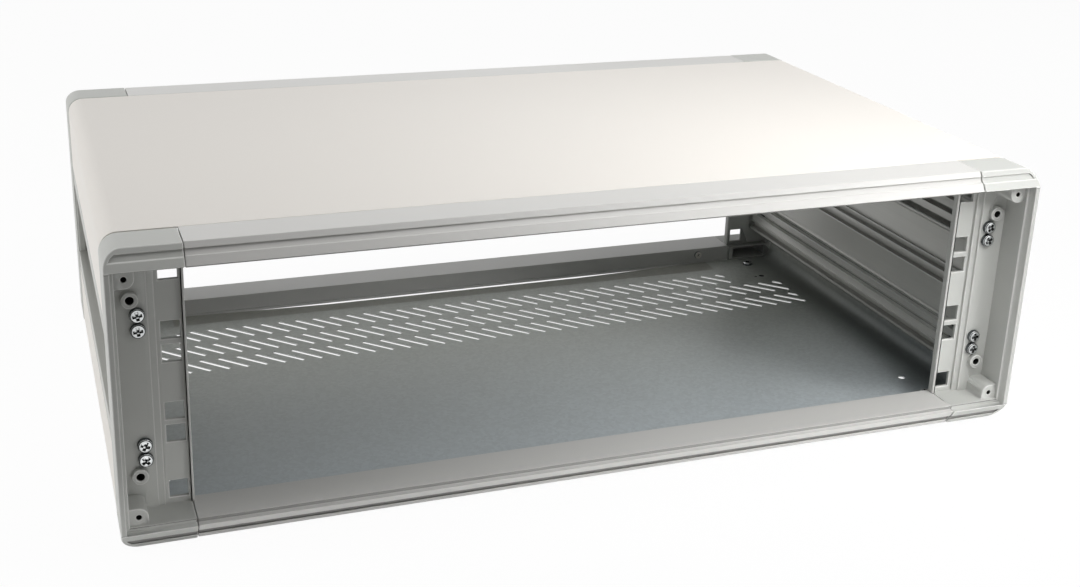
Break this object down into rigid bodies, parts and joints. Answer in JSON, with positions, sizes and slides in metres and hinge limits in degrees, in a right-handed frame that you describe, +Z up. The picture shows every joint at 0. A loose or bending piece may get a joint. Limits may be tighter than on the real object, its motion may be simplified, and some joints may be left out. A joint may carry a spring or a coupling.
{
  "type": "rack mount case",
  "caption": "Open rack mount case with cast corner uprights, hollow rails, folded covers, square-hole panel flanges at front and rear, side grip channels and a slotted floor.",
  "frame": {"origin": "under the middle of the case, on the plane it rests on", "axes": "+X to the right seen from the front, +Y to the rear, +Z up"},
  "size_m": [0.5282, 0.323, 0.161],
  "materials": {
    "casting": "fine textured light grey paint on a casting",
    "rail": "satin light grey paint on an extrusion",
    "panel": "drawn aluminium with streaks along its length",
    "cover": "fine textured pale grey paint",
    "base_sheet": "zinc coated sheet inside, pale grey paint outside",
    "zinc_screw": "bright zinc",
    "dark_screw": "dull zinc"
  },
  "bodies": {
    "root": {"front_left_upright": "casting", "front_right_upright": "casting", "rear_left_upright": "casting", "rear_right_upright": "casting", "front_top_rail": "rail", "front_bottom_rail": "rail", "rear_top_rail": "rail", "rear_bottom_rail": "rail", "left_side_panel": "panel", "right_side_panel": "panel", "top_cover": "cover", "bottom_cover": "base_sheet", "front_left_upright_screws": "zinc_screw", "front_right_upright_screws": "zinc_screw", "rear_left_upright_screws": "zinc_screw", "rear_right_upright_screws": "zinc_screw", "front_top_rail_screws": "dark_screw", "front_bottom_rail_screws": "dark_screw", "rear_top_rail_screws": "dark_screw", "rear_bottom_rail_screws": "dark_screw", "bottom_cover_screws": "zinc_screw"}
  },
  "joints": []
}
